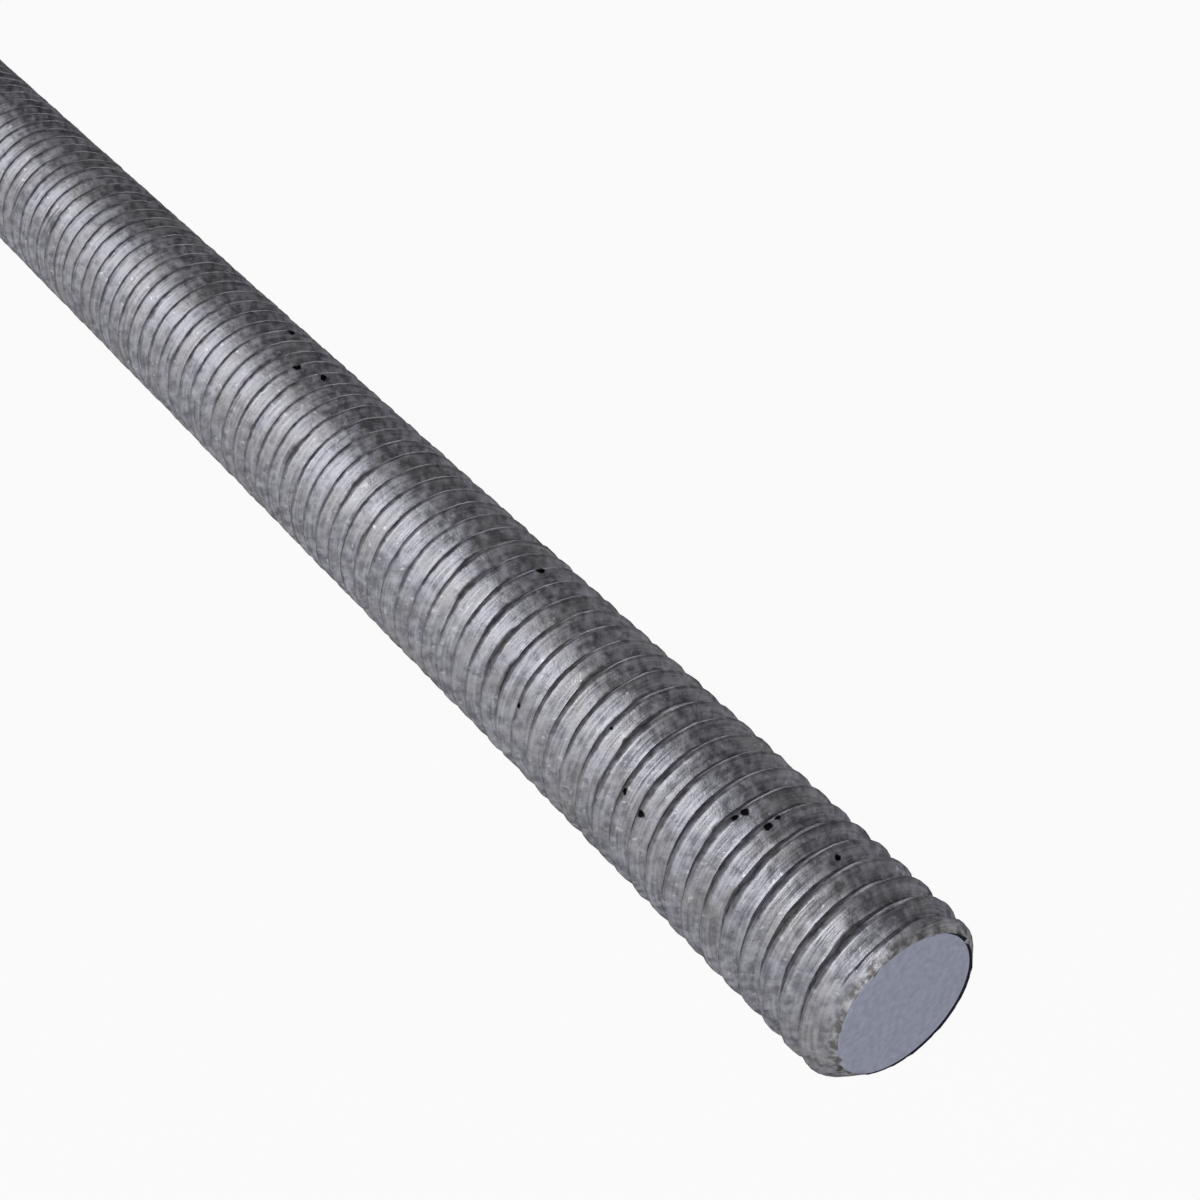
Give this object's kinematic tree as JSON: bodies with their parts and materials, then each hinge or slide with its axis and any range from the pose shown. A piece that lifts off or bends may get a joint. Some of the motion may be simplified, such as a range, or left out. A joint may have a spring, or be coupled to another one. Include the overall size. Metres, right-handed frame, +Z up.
{
  "type": "threaded rod",
  "caption": "Straight galvanised steel rod with a right-hand helical thread along its whole length and square-sawn, bevelled ends.",
  "frame": {"origin": "middle of the rod's length, on its axis", "axes": "+X along the rod towards its front face, +Z up as the rod lies on a table"},
  "size_m": [0.25, 0.01, 0.01],
  "materials": {
    "zinc": "dull hot-dip zinc coat, mottled grey"
  },
  "bodies": {
    "root": {"rod": "zinc"}
  },
  "joints": []
}
